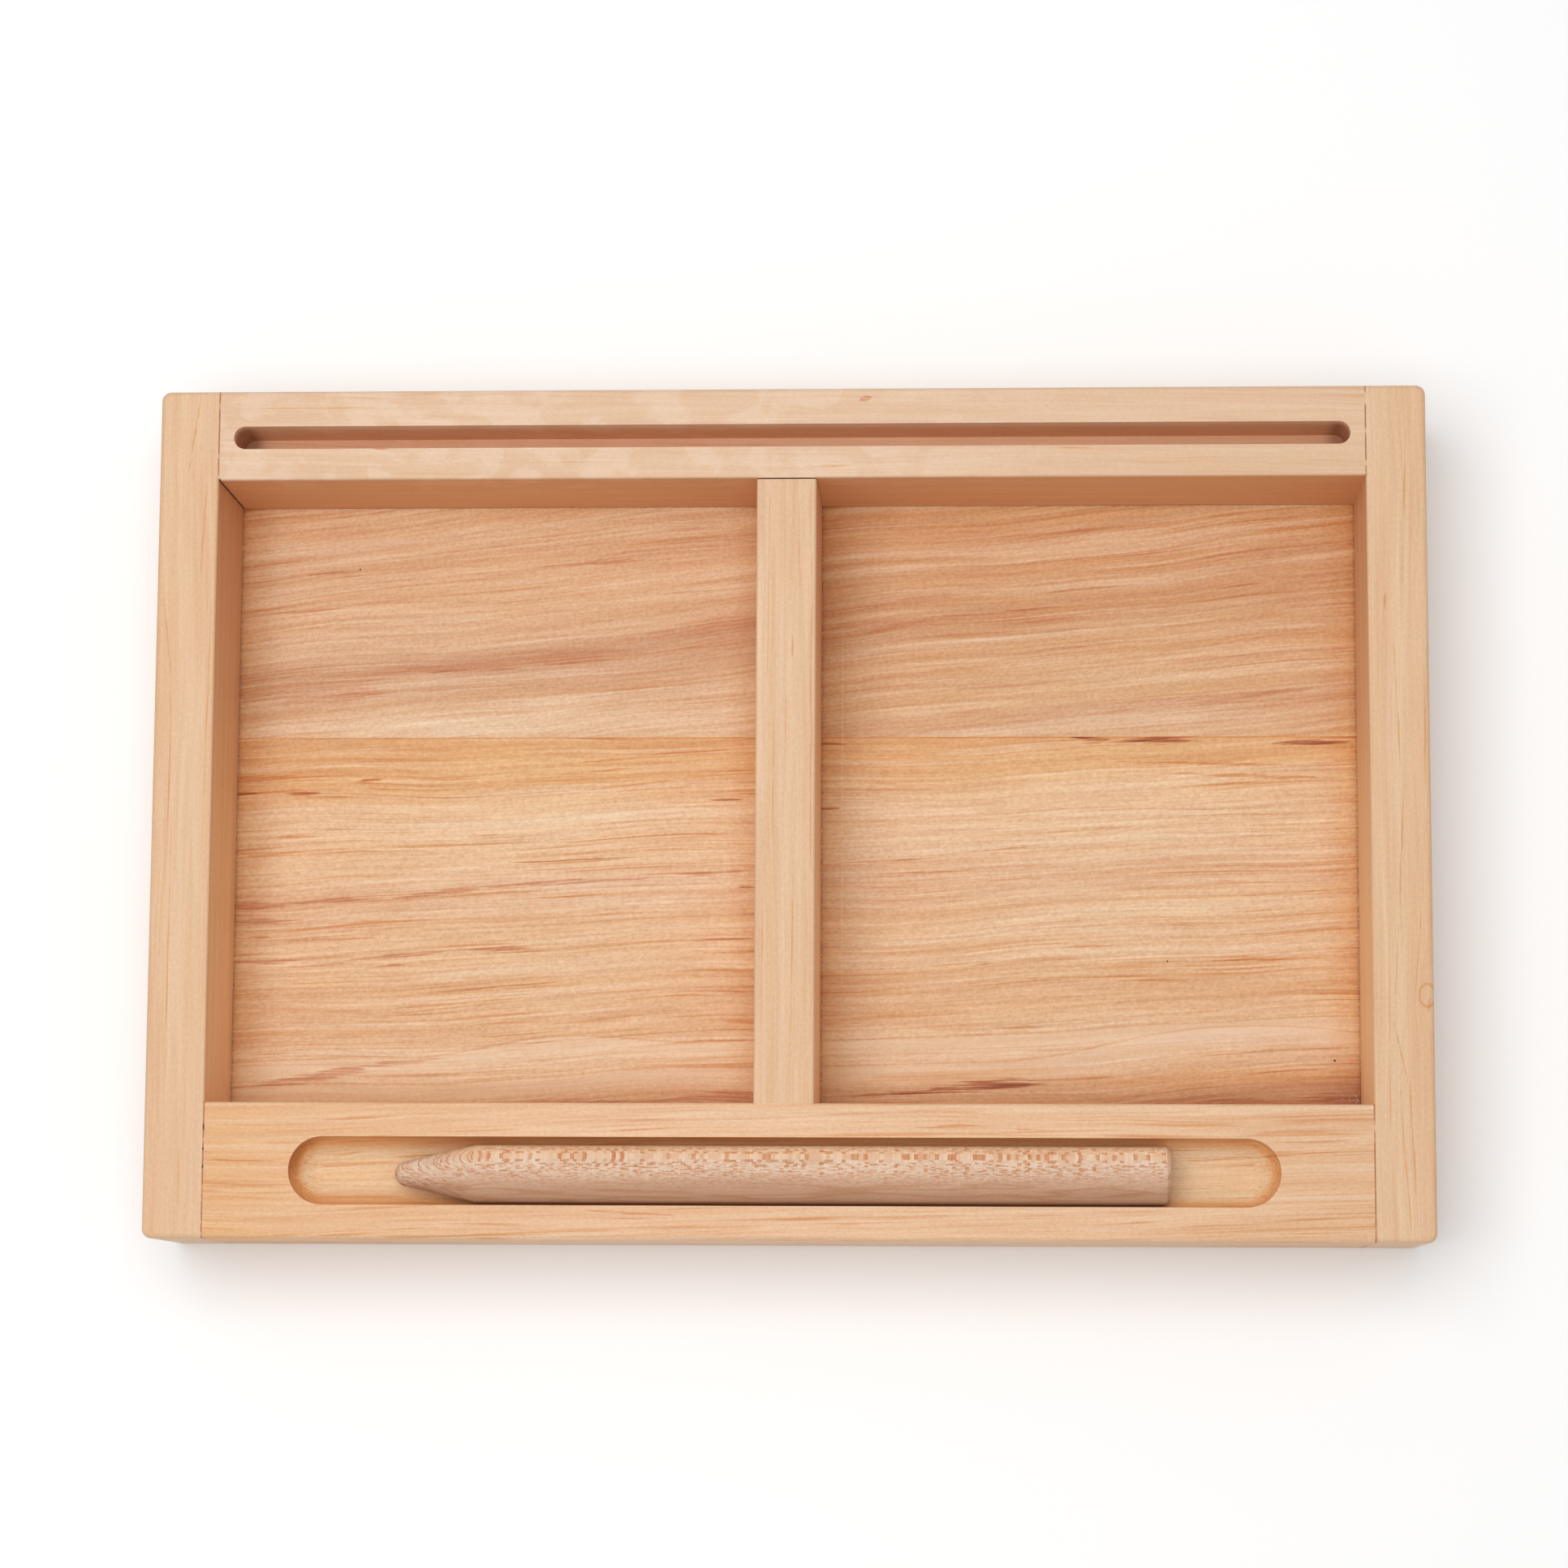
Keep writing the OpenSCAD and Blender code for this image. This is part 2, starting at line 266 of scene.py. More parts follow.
class Board:
    """Plain wood on one graph: its grain coordinates and its fine structure.

    grain is the axis that the grain runs along. slope and wave, in millimetres, bend the grain
    across the face that shows, and each knot (x, y, reach, push) pushes it aside.
    """

    def __init__(self, name, grain, slope=0.0, wave=0.0, ripple=0.35, seed=0.0, knots=()):
        graph = Graph(name)
        self.graph = graph
        self.seed = seed
        along, across = (graph.x, graph.y) if grain == "x" else (graph.y, graph.x)
        straight = graph.vector(along, across, graph.z)
        bend = graph.noise(straight, 1 / 75, 1 / 45, seed + 3.0, detail=1.0) - 0.5
        shake = graph.noise(straight, 1 / 14, 1 / 8, seed + 5.0, detail=1.0) - 0.5
        self.along = along
        self.square = across
        self.across = across - along * slope + bend * (3 * wave) + shake * (3 * ripple)
        for x, y, reach, push in knots:
            far = graph.distance(along * 0.4, across, y * 0.4, x)
            self.across = self.across + graph.step(far, reach, 0.0) * push
        self.point = graph.vector(along, self.across, graph.z)

    def noise(self, length, width, seed, detail=2.0, roughness=0.5):
        """Noise in streaks of about that length and width, in millimetres."""
        return self.graph.noise(self.point, 1 / length, 1 / width, self.seed + seed, detail, roughness)

    def structure(self, color, bands=0.5, lines=0.5, cream=0.4, fibres=0.5):
        """Adds broad bands, thin orange lines, pale lines and fibres. Returns the colour and the height."""
        graph = self.graph
        swell = self.noise(150.0, 4.0, seed=11.0, detail=3.0, roughness=0.5)
        bunch = graph.step(self.noise(90.0, 8.0, seed=13.0, detail=1.0), 0.36, 0.60)
        gaps = graph.step(self.noise(26.0, 1.6, seed=19.0, detail=1.0), 0.40, 0.60)
        contour = self.noise(150.0, 1.8, seed=23.0, detail=1.0)
        thin = self.noise(75.0, 0.9, seed=27.0, detail=1.0)
        pale = self.noise(70.0, 1.1, seed=29.0, detail=1.0)
        fibre = self.noise(38.0, 1.1, seed=31.0, detail=4.0, roughness=0.8)
        speck = self.noise(1.1, 0.7, seed=37.0, detail=2.0, roughness=0.7)
        color = graph.tint(graph.step(swell, 0.49, 0.62) * bands, color, REDDISH)
        color = graph.blend(graph.step(swell, 0.47, 0.36) * cream, color, CREAM)
        color = graph.blend(graph.step(pale, 0.57, 0.70) * cream, color, CREAM)
        vein = graph.band(contour, 0.5, 0.018, 0.9) * gaps
        cut = graph.step(thin, 0.59, 0.67) * (gaps * 0.6 + 0.4)
        color = graph.tint((vein * 0.8 + cut * 0.7) * (bunch * 0.9 + 0.4) * lines, color, RUST)
        fine = ((fibre - 0.5) * 0.75 + (speck - 0.5) * 0.50) * fibres
        shade = graph.vector(1.0 + fine * 0.55, 1.0 + fine, 1.0 + fine * 1.35)
        color = graph.blend(1.0, color, shade, how="MULTIPLY")
        height = fibre * 0.026 + pale * 0.014 - cut * 0.016
        return color, height

    def marks(self, color, marks, tone, strength=1.0):
        """Tapered streaks along the grain: each is (along, across, length, half width, slope)."""
        graph = self.graph
        ragged = (self.noise(14.0, 0.45, seed=67.0, detail=2.0) - 0.5) * 3.0
        streaky = graph.step(self.noise(14.0, 0.35, seed=69.0, detail=1.0), 0.36, 0.58) * 0.6 + 0.4
        lenses = []
        for along, across, length, half_width, slope in marks:
            run = self.along - along
            off = self.square - across - run * slope
            reach = run * (2 / length)
            lenses.append(1.0 - reach * reach - abs(off * (1 / half_width)))
        depth = graph.largest(lenses) + ragged
        return graph.tint(graph.step(depth, 0.0, 0.5) * streaky * strength, color, tone)

    def crest(self, color, x, y, half_length, rise):
        """A pale growth ring with a sharp orange edge that arches up by rise around x."""
        graph = self.graph
        under = graph.step(abs(graph.x - x), half_length, 0.0) * rise + y - self.across
        pale = graph.step(under, 0.0, 0.7) * graph.step(under, 8.0, 1.0)
        color = graph.blend(pale * 0.45, color, CREAM)
        return graph.tint(graph.band(under, -0.1, 0.18, 0.9) * 0.45, color, RUST)

    def spots(self, color, spots, tone):
        """Small round dots: each is (x, y, radius)."""
        graph = self.graph
        dots = [graph.distance(graph.x, graph.y, x, y) * (1 / radius) for x, y, radius in spots]
        return graph.blend(graph.step(graph.smallest(dots), 1.4, 0.7), color, tone)

    def skin(self, depth):
        """1 on a face of the wood, fading to 0 within SKIN of depth behind it."""
        return self.graph.step(depth, SKIN, 0.1)

    def below_rim(self):
        """0 on the top face and its rounded edge, and 1 on the walls below it."""
        return self.graph.step(self.graph.z, RIM_Z - 0.4, RIM_Z - EDGE)

    def paint_wall_light(self, color, inward, ahead, behind):
        """Painted light and shade on the faces below the rim where inward is 1: the tint ahead at the
        front, and behind at the back.
        """
        graph = self.graph
        tone = graph.blend(graph.step(graph.y, FRONT_Y, BACK_Y), ahead, behind)
        return graph.tint(self.below_rim() * inward, color, tone)

    def foot_grime_and_shade(self, color, inward):
        """Grime and painted shade in the corner between the floor and a wall, where inward is 1."""
        graph = self.graph
        low = inward * graph.step(graph.z, FLOOR_Z + 1.2, FLOOR_Z + 0.1)
        return graph.tint(low * self.noise(2.0, 0.8, seed=83.0) * 1.2, color, GRIME_AND_SHADE)

    def glue(self, color):
        """The glue lines of the butt joints between the side rails and the long rails."""
        graph = self.graph
        jointed = graph.math("GREATER_THAN", abs(graph.y - (BACK_Y + FRONT_Y) / 2), (BACK_Y - FRONT_Y) / 2)
        line = graph.band(abs(graph.x), INNER_X, 0.2, 0.5) * jointed
        broken = graph.noise(graph.place, 0.35, 0.35, seed=91.0, detail=1.0)
        color = graph.blend(line * graph.step(broken, 0.25, 0.5), color, GLUE)
        gaps = graph.step(graph.x, 0.0, -1.0) * graph.step(broken, 0.62, 0.68)
        return graph.blend(line * gaps, color, GAP)

    def finish(self, color, height, roughness=0.55):
        return self.graph.finish(color, roughness + 5.0 * (height - 0.02), height)


def side_rail_wood():
    """Pale wood with the grain front to back, fine growth lines and a knot on the right rail."""
    board = Board("side_rail_wood", "y", wave=1.6, ripple=0.1, seed=2.0, knots=[(168.5, -50.0, 7.0, 3.0)])
    graph = board.graph
    pale = graph.step(board.noise(90.0, 7.0, seed=71.0), 0.4, 0.6)
    color = graph.blend(pale, (0.680, 0.435, 0.258), (0.699, 0.458, 0.285))
    color, height = board.structure(color, bands=0.25, lines=0.16, cream=0.15, fibres=0.65)
    lines = (
        (17, -165.4, 44, 0.28, 0.0),
        (48, -167.0, 26, 0.28, -0.12),
        (104, -160.4, 24, 0.28, 0.14),
        (76, -157.6, 42, 0.28, 0.045),
        (28, -155.6, 70, 0.25, 0.015),
        (-38, -164.6, 80, 0.25, 0.0),
        (-100, -160.5, 22, 0.25, 0.0),
        (-92, 161.9, 46, 0.28, -0.07),
        (-90, 164.0, 42, 0.28, -0.045),
        (-64, 161.0, 20, 0.25, -0.22),
        (-40, 160.4, 22, 0.28, 0.06),
        (-10, 162.0, 44, 0.28, 0.05),
        (30, 161.2, 50, 0.25, -0.04),
        (22, 168.5, 50, 0.25, 0.0),
        (-38, 166.0, 26, 0.28, 0.08),
        (85, 164.0, 50, 0.25, 0.03),
        (-50, 158.3, 90, 0.2, 0.005),
    )
    color = board.marks(color, lines, FINE_LINE, 0.9)
    # The knot's ring is long along the grain, and leans so that it closes just below the rim
    ring_x, ring_y, ring_r = 168.2, -49.43, 2.1
    squash = 0.7
    leaning = graph.x + (RIM_Z - graph.z) * 0.05
    from_knot = graph.distance(graph.y * squash, leaning, ring_y * squash, ring_x)
    ring = graph.band(from_knot, ring_r, 0.25, 0.9)
    color = graph.tint(ring * 0.8, color, (0.88, 0.66, 0.44))
    ticks = ((55.5, 158.5, 5, 0.35, 0.0), (-75, 161, 2.5, 0.3, 0.0), (-52, 168.6, 5, 0.5, 0.1))
    color = board.marks(color, ticks, (0.80, 0.55, 0.36))
    inward = board.skin(abs(graph.x) - INNER_X)
    # Painted light and shade on the inner walls: paler towards the front, darker and redder towards the
    # back
    color = board.paint_wall_light(color, inward, (1.28, 1.22, 1.07), (0.95, 0.75, 0.60))
    # Painted light: the right rail's inner wall a little paler
    lit_right_wall = inward * graph.step(graph.x, -1.0, 1.0) * board.below_rim()
    color = graph.tint(lit_right_wall, color, (1.02, 1.08, 1.10))
    # Grime and painted shade where the inner wall meets the floor
    color = board.foot_grime_and_shade(color, inward)
    return board.finish(board.glue(color), height)


def back_rail_wood():
    """Pale wood with a figure that fades to the right and downwards, and a slot whose walls are paler, as
    painted light, and whose ends are darker.
    """
    board = Board("back_rail_wood", "x", slope=-0.01, wave=1.0, ripple=0.2, seed=5.0)
    graph = board.graph
    figure = graph.noise(graph.place, 1 / 13, 1 / 9, seed=8.0, detail=3.0, twist=0.6)
    fading = graph.step(graph.x, 120.0, -20.0) * graph.step(graph.z, 20.0, 44.0)
    flame = graph.step(figure, 0.46, 0.58) * fading
    color = graph.blend(flame, (0.683, 0.453, 0.291), (0.723, 0.507, 0.354))
    color, height = board.structure(color, bands=0.12, lines=0.30, cream=0.2, fibres=0.45)
    dashes = (
        (12, 92.6, 16, 0.3, 0.02),
        (77, 97.4, 10, 0.3, 0.0),
        (-130, 109.2, 40, 0.25, 0.0),
        (-60, 94.0, 40, 0.2, 0.0),
    )
    color = board.marks(color, dashes, (0.90, 0.70, 0.46), 0.8)
    color = board.marks(color, [(20.5, 111, 4, 0.9, 0.25), (-110, 97.9, 5, 0.4, 0)], (0.80, 0.45, 0.28))
    inward = board.skin(graph.y - BACK_Y)
    # Painted shade on the inner wall: darker and redder
    color = board.paint_wall_light(color, inward, BARE, (1.04, 0.79, 0.58))
    # A dark gap in the back left corner
    jagged = 0.8 * (graph.noise(graph.place, 0.5, 0.5, seed=12.0, detail=2.0) - 0.5)
    crack = inward * graph.step(graph.x + jagged, 0.8 - INNER_X, 0.4 - INNER_X)
    color = graph.blend(crack * 0.9, color, GAP)
    slot = graph.band(graph.y, SLOT_Y, SLOT_HALF, 0.02)
    # Painted light: the slot's walls paler
    color = board.paint_wall_light(color, slot, BARE, (1.22, 1.12, 1.05))
    # The slot's ends darker
    slot_end = graph.step(abs(graph.x), SLOT_END_X, SLOT_END_X + 4.0)
    dark_slot_ends = slot * slot_end * graph.step(graph.z, RIM_Z - 0.5, RIM_Z - 5.0)
    color = graph.tint(dark_slot_ends, color, (0.62, 0.50, 0.45))
    # Grime and painted shade where the inner wall meets the floor
    color = board.foot_grime_and_shade(color, inward)
    return board.finish(board.glue(color), height)


def front_rail_wood():
    """Wood that is more orange at its ends, with a paler groove that has painted shade on its steep sides
    and at its left end.
    """
    board = Board("front_rail_wood", "x", slope=0.03, wave=1.6, ripple=0.1, seed=9.0)
    graph = board.graph
    tones = (
        (-154, (0.70, 0.395, 0.19)),
        (-120, (0.71, 0.42, 0.23)),
        (-40, (0.73, 0.46, 0.28)),
        (80, (0.72, 0.46, 0.28)),
        (154, (0.69, 0.42, 0.24)),
    )
    color = graph.ramp(graph.x, tones)
    color, height = board.structure(color, bands=0.30, lines=0.75, cream=0.25, fibres=0.85)
    # The groove: paler inside, with painted shade, darker and more orange, on its steep sides and a painted
    # shadow at its left end
    past_end = graph.largest([abs(graph.x - GROOVE_X) - GROOVE_HALF, 0.0])
    from_middle = graph.distance(past_end, graph.y, 0.0, GROOVE_Y)
    groove = graph.step(from_middle, GROOVE_R + 0.4, GROOVE_R + 0.1)
    in_groove = groove * graph.step(graph.z, RIM_Z - 0.3, RIM_Z - 1.0)
    color = graph.tint(in_groove, color, (1.05, 1.20, 1.24))
    steep = graph.step(from_middle, GROOVE_R - 3.4, GROOVE_R - 0.8)
    color = graph.tint(in_groove * steep, color, (1.00, 0.74, 0.52))
    left_end = graph.step(graph.x, -121.0, -129.0) * graph.step(graph.y, -102.0, -92.0)
    rim_shade = in_groove * graph.step(from_middle, GROOVE_R - 2.2, GROOVE_R - 0.6)
    color = graph.tint(rim_shade * left_end, color, (0.72, 0.54, 0.42))
    slants = (
        (-110, -82, 40, 0.35, 0.06),
        (-95, -91.5, 24, 0.35, 0.06),
        (-145, -93.5, 20, 0.4, 0.0),
        (45, -84, 22, 0.45, 0.04),
        (65, -84.8, 14, 0.3, -0.02),
        (125, -91.5, 40, 0.35, 0.05),
        (-40, -107, 26, 0.4, -0.05),
    )
    color = board.marks(color, slants, (0.82, 0.52, 0.30), 0.9)
    return board.finish(board.glue(color), height)


def divider_wood():
    """Pale wood with the grain front to back and a few fine growth lines."""
    board = Board("divider_wood", "y", wave=0.6, ripple=0.1, seed=14.0)
    graph = board.graph
    pale = graph.step(board.noise(90.0, 6.0, seed=71.0), 0.4, 0.6)
    color = graph.blend(pale, (0.676, 0.430, 0.259), (0.696, 0.458, 0.286))
    color, height = board.structure(color, bands=0.2, lines=0.16, cream=0.15, fibres=0.65)
    lines = (
        (9, -3.8, 34, 0.28, 0.0),
        (24, -0.5, 40, 0.25, -0.01),
        (60, -5.2, 50, 0.22, 0.01),
        (-40, 1.5, 60, 0.22, 0.01),
        (20, 6.3, 130, 0.3, 0.0),
        (-50, -6.4, 60, 0.22, 0.0),
        (70, 3.0, 40, 0.2, -0.01),
    )
    color = board.marks(color, lines, FINE_LINE, 0.9)
    color = board.marks(color, [(43, 1.3, 9, 0.35, 0.0)], (0.80, 0.50, 0.30))
    inward = board.skin(DIVIDER_HALF - abs(graph.x - DIVIDER_MIDDLE))
    # Painted light and shade on the divider's sides: paler towards the front, darker and redder towards the
    # back
    color = board.paint_wall_light(color, inward, (1.32, 1.25, 1.13), (1.00, 0.82, 0.74))
    # Grime and painted shade where the divider meets the floor
    color = board.foot_grime_and_shade(color, inward)
    return board.finish(color, height)


def floor_shade_and_dirt(board, color):
    """The floor with painted shade, darker and redder along the walls, paler along the back wall, grime and
    painted shade where the walls meet it, dust, a front right corner darkened by painted shade, and a light
    scratch.
    """
    graph = board.graph
    side = INNER_X - abs(graph.x)
    beside = abs(graph.x - DIVIDER_MIDDLE) - DIVIDER_HALF
    behind = BACK_Y - graph.y
    ahead = graph.y - FRONT_Y
    # Painted shade, darker and redder towards the walls, and paler along the back wall
    gap = graph.smallest([side, beside, ahead])
    color = graph.tint(graph.step(gap, 12.0, 1.0), color, (0.93, 0.82, 0.68))
    color = graph.tint(graph.step(gap, 3.0, 0.0), color, (0.92, 0.80, 0.68))
    color = graph.tint(graph.step(behind, 14.0, 1.0), color, (1.12, 1.14, 1.10))
    # Grime and painted shade, and dust, where the walls meet the floor
    grains = graph.noise(graph.place, 1.6, 1.6, seed=4.0, detail=2.0)
    near = graph.smallest([gap, behind + 0.5])
    color = graph.tint(graph.step(near, 1.0, 0.1) * graph.step(grains, 0.36, 0.60) * 0.6, color, GRIME_AND_SHADE)
    grey = graph.step(gap, 1.8, 0.5) * graph.step(grains, 0.62, 0.70)
    color = graph.blend(grey * 0.6, color, DUST)
    # The front right corner: darkened by painted shade, and dusty
    corner = graph.distance(graph.x, graph.y, INNER_X, FRONT_Y)
    color = graph.tint(graph.step(corner, 18.0, 2.0), color, (0.80, 0.66, 0.62))
    dusty = graph.step(corner, 12.0, 4.0) * graph.step(grains, 0.58, 0.66)
    color = graph.blend(dusty * 0.5, color, DUST)
    # A thin light scratch beside the divider
    scratch = graph.band(graph.x, 13.3, 0.12, 0.8) * graph.band(graph.y, 5.0, 50.0, 0.3)
    return graph.blend(scratch * graph.step(grains, 0.3, 0.6) * 0.45, color, SCRATCH)


def floor_wood_back():
    """Pinkish wood whose grain rises to the right. Its bands differ on the two sides of the divider."""
    board = Board("floor_wood_back", "x", slope=0.1, wave=2.0, ripple=0.1, seed=21.0)
    graph = board.graph
    left = (
        (24, (0.709, 0.468, 0.287)),
        (41, (0.699, 0.458, 0.278)),
        (47, (0.630, 0.369, 0.209)),
        (55, (0.591, 0.330, 0.185)),
        (62, (0.670, 0.409, 0.236)),
        (72, (0.709, 0.453, 0.268)),
        (85, (0.670, 0.404, 0.227)),
        (100, (0.709, 0.433, 0.246)),
    )
    right = (
        (10, (0.684, 0.420, 0.231)),
        (24, (0.627, 0.348, 0.185)),
        (30, (0.675, 0.411, 0.223)),
        (40, (0.666, 0.389, 0.204)),
        (52, (0.608, 0.327, 0.160)),
        (66, (0.637, 0.348, 0.170)),
        (85, (0.646, 0.345, 0.164)),
    )
    side = graph.step(graph.x, -15.0, 15.0)
    color = graph.blend(side, graph.ramp(board.across, left), graph.ramp(board.across, right))
    color, height = board.structure(color, bands=0.50, lines=0.60, cream=0.34, fibres=1.45)
    pink = (
        (-20, 56, 60, 2.5, 0.11),
        (-80, 46, 90, 3.0, 0.09),
        (-130, 37, 50, 2.5, 0.06),
        (25, 56.5, 30, 2.0, 0.06),
        (37, 64, 22, 0.7, 0.08),
        (72, 82, 50, 0.6, 0.08),
        (126, 47.5, 66, 0.8, 0.085),
        (62, 39.5, 44, 0.6, 0.08),
        (110, 35, 70, 1.6, 0.10),
    )
    color = board.marks(color, pink, (0.88, 0.68, 0.60), 0.7)
    dark = (
        (-129, 71.3, 16, 0.35, 0.08),
        (-96, 43.6, 16, 0.45, 0.04),
        (-66, 45.5, 46, 0.35, 0.09),
        (-50, 74.2, 44, 0.55, 0.06),
        (-137, 60.5, 30, 0.35, 0.07),
        (-24, 66, 26, 0.3, 0.07),
        (66, 60.6, 18, 0.4, 0.07),
        (79, 66, 22, 0.35, 0.09),
        (85, 50.6, 26, 0.35, 0.09),
        (121, 66.8, 18, 0.4, 0.10),
    )
    color = board.marks(color, dark, (0.78, 0.50, 0.38), 0.8)
    color = board.spots(color, ((-121, 72.3, 0.25),), GAP)
    return board.finish(floor_shade_and_dirt(board, color), height)


def floor_wood_front():
    """Orange wood with fine red streaks, two growth rings at the front and dark flecks at the seam."""
    board = Board("floor_wood_front", "x", slope=0.045, wave=2.2, ripple=0.1, seed=33.0)
    graph = board.graph
    zones = (
        (-80, (0.565, 0.313, 0.169)),
        (-73, (0.666, 0.407, 0.234)),
        (-62, (0.737, 0.506, 0.313)),
        (-52, (0.707, 0.444, 0.249)),
        (-40, (0.707, 0.444, 0.249)),
        (-28, (0.727, 0.470, 0.273)),
        (-16, (0.697, 0.428, 0.249)),
        (-6, (0.747, 0.501, 0.303)),
        (6, (0.747, 0.495, 0.293)),
        (15, (0.716, 0.417, 0.199)),
        (28, (0.686, 0.375, 0.164)),
    )
    color = graph.ramp(board.across, zones)
    calmer = 1.0 - graph.step(graph.x, -15.0, 15.0) * 0.35
    color, height = board.structure(color, bands=0.36, lines=calmer, cream=0.36, fibres=1.45)
    color = board.crest(color, -66, -59.0, 40.0, 4.0)
    color = board.crest(color, 118, -66.0, 64.0, 5.5)
    rust = (
        (-136, 9.6, 12, 0.7, 0.0),
        (-152, 9.6, 8, 0.8, 0.0),
        (-117, 13.2, 8, 0.5, 0.1),
        (-18.5, 7.6, 9, 0.45, 0.02),
        (-60, -9, 40, 0.3, 0.04),
        (80.5, 24.6, 14, 1.1, -0.05),
        (100, 24.0, 26, 1.2, 0.03),
        (142, 23.2, 22, 1.1, 0.0),
        (52, -37.6, 7, 0.5, 0.1),
        (10, 5.3, 9, 0.4, 0.03),
        (10, 23.0, 10, 0.5, 0.0),
        (53, -70.9, 34, 1.9, 0.08),
        (30, -72.9, 40, 0.6, 0.05),
        (26, -9.2, 30, 0.35, 0.045),
        (-147, -30.3, 7, 0.5, 0.0),
        (-13, -16.5, 6, 0.5, 0.0),
    )
    color = board.marks(color, rust, (0.62, 0.32, 0.16), 1.0)
    orange = (
        (-52, 18.6, 24, 0.32, 0.08),
        (-29, 20.9, 24, 0.32, 0.065),
        (-51, 15.9, 24, 0.32, 0.10),
        (-18, 15.5, 18, 0.32, 0.04),
        (-46, 11.6, 28, 0.35, 0.11),
        (-38, 10.8, 28, 0.32, 0.07),
        (-82, -44, 46, 0.32, 0.085),
        (-95, -50, 30, 0.3, 0.10),
        (-76, -57.2, 22, 0.35, 0.09),
        (-68, -59, 18, 0.32, 0.12),
        (-142, -62.4, 22, 0.3, 0.05),
        (-128, -31, 30, 0.35, 0.045),
        (-75, -34.4, 22, 0.35, 0.04),
        (58, -6, 20, 0.35, 0.09),
        (78, -69, 44, 0.4, 0.04),
        (128, 14.0, 56, 0.6, -0.03),
        (116, 17.5, 60, 0.4, -0.02),
        (-20, -58.6, 20, 0.35, 0.0),
        (132, -36.2, 36, 0.3, 0.02),
        (138, -60.8, 36, 0.35, 0.05),
        (135, -66.6, 36, 0.35, 0.07),
        (34, -12.5, 50, 0.35, 0.03),
        (90, -41.0, 60, 0.3, 0.02),
        (60, -55.0, 50, 0.3, 0.03),
    )
    color = board.marks(color, orange, (0.84, 0.58, 0.36), 1.0)
    plum = (
        (-149, -21.6, 26, 1.4, 0.02),
        (-128, -20.4, 30, 0.8, 0.07),
        (-146, -26, 22, 0.7, 0.03),
        (-146, -37.2, 20, 0.8, 0.04),
        (-110, -35.6, 36, 0.9, 0.10),
        (-112, -38.3, 16, 0.4, 0.08),
        (-80, -33.4, 26, 0.8, 0.05),
        (-133, -69.3, 34, 1.5, 0.12),
        (-124, -67.0, 20, 1.3, 0.16),
        (-108, -64.8, 34, 0.8, 0.10),
        (-98, -18.2, 24, 0.9, 0.12),
        (-60, -15, 60, 0.9, 0.05),
        (-22, -12.6, 26, 0.6, 0.07),
        (-18, -30.8, 22, 0.4, 0.05),
        (-16, -74, 40, 2.2, 0.04),
        (-60, -76, 60, 1.5, 0.02),
        (122, -75.6, 90, 1.6, 0.01),
        (146, -75.6, 40, 2.6, 0.04),
    )
    color = board.marks(color, plum, (0.76, 0.50, 0.41), 1.0)
    honey = (
        (120, -68.5, 90, 3.4, 0.03),
        (45, -68.0, 70, 2.0, 0.05),
    )
    color = board.marks(color, honey, (1.00, 0.90, 0.72), 1.0)
    core = (
        (79, 24.7, 9, 0.6, -0.05),
        (100, 24.0, 20, 0.6, 0.02),
        (141, 23.2, 14, 0.6, 0.0),
        (55, -70.9, 24, 0.8, 0.08),
        (32, -73.0, 30, 0.4, 0.05),
    )
    color = board.marks(color, core, (0.60, 0.35, 0.25), 1.0)
    color = board.spots(color, ((147, -63.8, 0.3), (102, -36.8, 0.22)), GAP)
    color = graph.tint(board.skin(SEAM_Y - graph.y), color, SEAM)
    return board.finish(floor_shade_and_dirt(board, color), height)


# The lace wood's ray plates, in millimetres: how far the direction that they are stacked in leans
# back from upright, how thick they are, and how long along the grain
RAY_TILT = math.radians(36.5)
RAY_THICKNESS = 0.12
RAY_LENGTH = 1.1


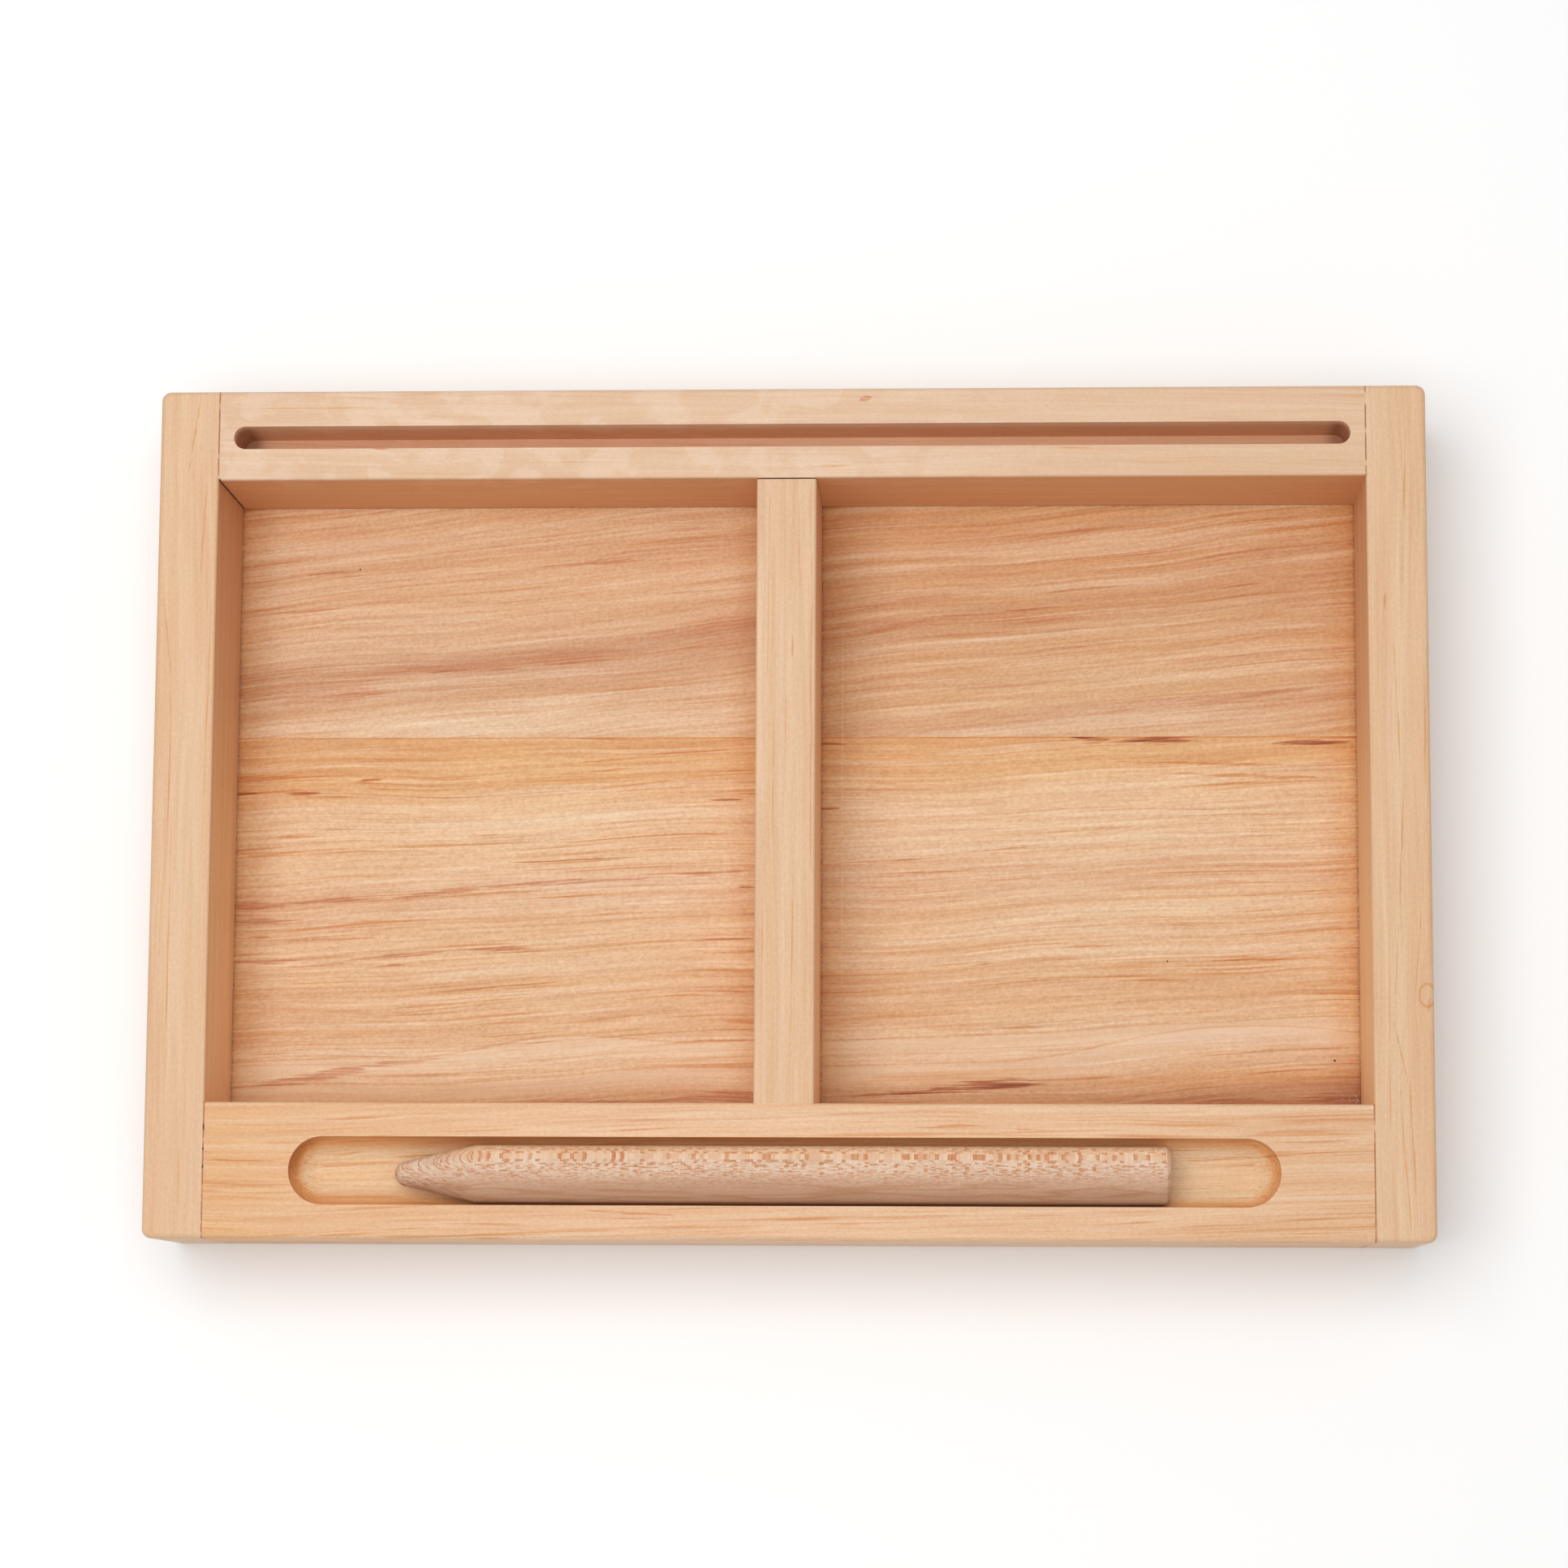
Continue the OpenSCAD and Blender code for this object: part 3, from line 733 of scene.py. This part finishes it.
def stylus_wood():
    """Lace wood: thin ray plates run along the grain, and show as blocks where the surface follows them."""
    board = Board("stylus_wood", "x", ripple=0.1, seed=45.0)
    graph = board.graph
    # The plates are stacked in the direction out, and lie flat on the surface where round_it is 0
    y = graph.y - STYLUS_Y
    z = graph.z - STYLUS_Z
    out = y * math.sin(RAY_TILT) + z * math.cos(RAY_TILT)
    round_it = abs(y * math.cos(RAY_TILT) - z * math.sin(RAY_TILT))
    uneven = graph.noise(graph.place, 0.9, 0.9, seed=6.0, detail=1.0) - 0.5
    layer = graph.math("FLOOR", out * (1 / RAY_THICKNESS) + uneven * 0.9)
    shift = graph.random(layer, 0.5)
    cell = graph.math("FLOOR", graph.x * (1 / RAY_LENGTH) + shift * 9.0 + uneven * 0.5)
    ray = graph.random(cell, layer)
    shown = graph.step(round_it, 8.5, 3.5)
    grown = graph.step(board.noise(26.0, 3.0, seed=17.0, detail=2.0), 0.42, 0.62)
    color = graph.blend(grown * 0.5, (0.682, 0.465, 0.322), (0.605, 0.377, 0.248))
    stripe = graph.random(graph.math("FLOOR", graph.x * 2.6 + uneven * 0.6), 7.5)
    pale_block = graph.step(ray, 0.42, 0.30) * shown * (0.25 + 0.5 * stripe)
    color = graph.blend(pale_block, color, (0.76, 0.60, 0.48))
    dark_block = graph.step(ray, 0.66, 0.84) * shown * (1.0 - 0.4 * stripe)
    color = graph.tint(dark_block, color, (0.78, 0.48, 0.30))
    # Short fibres and specks all round, and arched growth lines on the front side
    fibre = board.noise(2.2, 0.20, seed=31.0, detail=2.0, roughness=0.7)
    speck = board.noise(0.8, 0.35, seed=37.0, detail=1.0)
    shade = 1.0 + (fibre - 0.5) * 0.22 + (speck - 0.5) * 0.22
    color = graph.blend(1.0, color, graph.vector(shade, shade, shade), how="MULTIPLY")
    cathedral = graph.band(board.noise(30.0, 2.6, seed=61.0, detail=1.0), 0.5, 0.045, 0.9)
    color = graph.tint(cathedral * graph.step(y, -1.0, -3.5) * 0.7, color, (0.85, 0.70, 0.58))
    # Painted shade, darker towards the front, and painted light, paler at the back
    color = graph.tint(graph.step(y, 3.0, -6.0), color, (0.74, 0.61, 0.53))
    color = graph.tint(graph.step(y, 2.5, 6.0), color, (1.16, 1.08, 0.95))
    height = fibre * 0.03 + graph.step(ray, 0.6, 0.7) * shown * 0.01
    return board.finish(color, height, roughness=0.72)


def dowel_wood():
    """Plain pale wood, hidden in the joints."""
    board = Board("dowel_wood", "x", seed=51.0)
    graph = board.graph
    pale = graph.step(board.noise(30.0, 2.0, seed=71.0), 0.4, 0.6)
    color = graph.blend(pale, (0.70, 0.52, 0.34), (0.76, 0.58, 0.40))
    color, height = board.structure(color, bands=0.3, lines=0.3, cream=0.2, fibres=0.5)
    return board.finish(color, height, roughness=0.7)


MATERIALS = {
    "side_rail_wood": side_rail_wood,
    "back_rail_wood": back_rail_wood,
    "front_rail_wood": front_rail_wood,
    "divider_wood": divider_wood,
    "floor_wood_back": floor_wood_back,
    "floor_wood_front": floor_wood_front,
    "stylus_wood": stylus_wood,
    "dowel_wood": dowel_wood,
}


def dress_nodes():
    """Gives every CAD node the wood of its material slot in the record."""
    woods = {name: make() for name, make in MATERIALS.items()}
    for part in frame["record"]["subparts"]:
        node = frame["nodes"][part["node"]]
        node.data.materials.clear()
        node.data.materials.append(woods[part["material_slot"]])


# ---------------------------------------------------------------------------------------------
# Studio: floor, light and camera
# ---------------------------------------------------------------------------------------------

# The camera: its lens and sensor in millimetres, its places in metres and its roll in degrees
LENS = 99.05
SENSOR = 36.0
CAMERA_PLACE = Vector((0.0542, -0.1464, 1.1818))
CAMERA_TARGET = Vector((-0.0008, 0.0066, 0.048))
CAMERA_ROLL = 0.30

# The square key light above the tray, in metres and watts, and the even light from all round
KEY_PLACE = Vector((-0.16, 0.04, 1.15))
KEY_SIZE = 0.8
KEY_POWER = 8.0
FILL_STRENGTH = 0.58

FLOOR_REACH = 3.0
FLOOR_GREY = 0.96
FLOOR_ROUGHNESS = 0.8


def make_floor():
    """A plain, very pale floor under the tray."""
    graph = Graph("studio_floor")
    grain = graph.noise(graph.place, 0.3, 0.3, detail=1.0) * 0.01
    graph.finish((FLOOR_GREY, FLOOR_GREY, FLOOR_GREY, 1.0), FLOOR_ROUGHNESS, grain)
    mesh = bpy.data.meshes.new("studio_floor")
    sides = ((-1, -1), (1, -1), (1, 1), (-1, 1))
    corners = [(x * FLOOR_REACH, y * FLOOR_REACH, 0) for x, y in sides]
    mesh.from_pydata(corners, [], [(0, 1, 2, 3)])
    mesh.materials.append(graph.material)
    floor = bpy.data.objects.new("studio_floor", mesh)
    bpy.context.scene.collection.objects.link(floor)


def make_lights():
    """An even white surround and one large soft light above."""
    world = bpy.data.worlds.new("studio")
    world.use_nodes = True
    background = world.node_tree.nodes["Background"]
    background.inputs["Color"].default_value = (1.0, 1.0, 1.0, 1.0)
    background.inputs["Strength"].default_value = FILL_STRENGTH
    bpy.context.scene.world = world
    light = bpy.data.lights.new("key", "AREA")
    light.shape = "SQUARE"
    light.size = KEY_SIZE
    light.energy = KEY_POWER
    key = bpy.data.objects.new("key", light)
    key.location = KEY_PLACE
    key.rotation_mode = "QUATERNION"
    key.rotation_quaternion = (-KEY_PLACE).to_track_quat("-Z", "Y")
    key.visible_camera = False
    bpy.context.scene.collection.objects.link(key)


def make_camera():
    """The camera looks down at the tray from in front of it and to its right."""
    view = (CAMERA_TARGET - CAMERA_PLACE).normalized()
    right = view.cross(Vector((0, 1, 0))).normalized()
    up = right.cross(view)
    turn = Matrix.Rotation(math.radians(CAMERA_ROLL), 3, -view)
    axes = Matrix((turn @ right, turn @ up, -view)).transposed()
    data = bpy.data.cameras.new("camera")
    data.sensor_width = SENSOR
    data.lens = LENS
    data.clip_start = 0.01
    camera = bpy.data.objects.new("camera", data)
    camera.matrix_world = Matrix.Translation(CAMERA_PLACE) @ axes.to_4x4()
    bpy.context.scene.collection.objects.link(camera)
    bpy.context.scene.camera = camera


def set_view():
    """Plain colours, with no filmic look."""
    settings = bpy.context.scene.view_settings
    settings.view_transform = "Standard"
    settings.look = "None"


dress_nodes()
make_floor()
make_lights()
make_camera()
set_view()
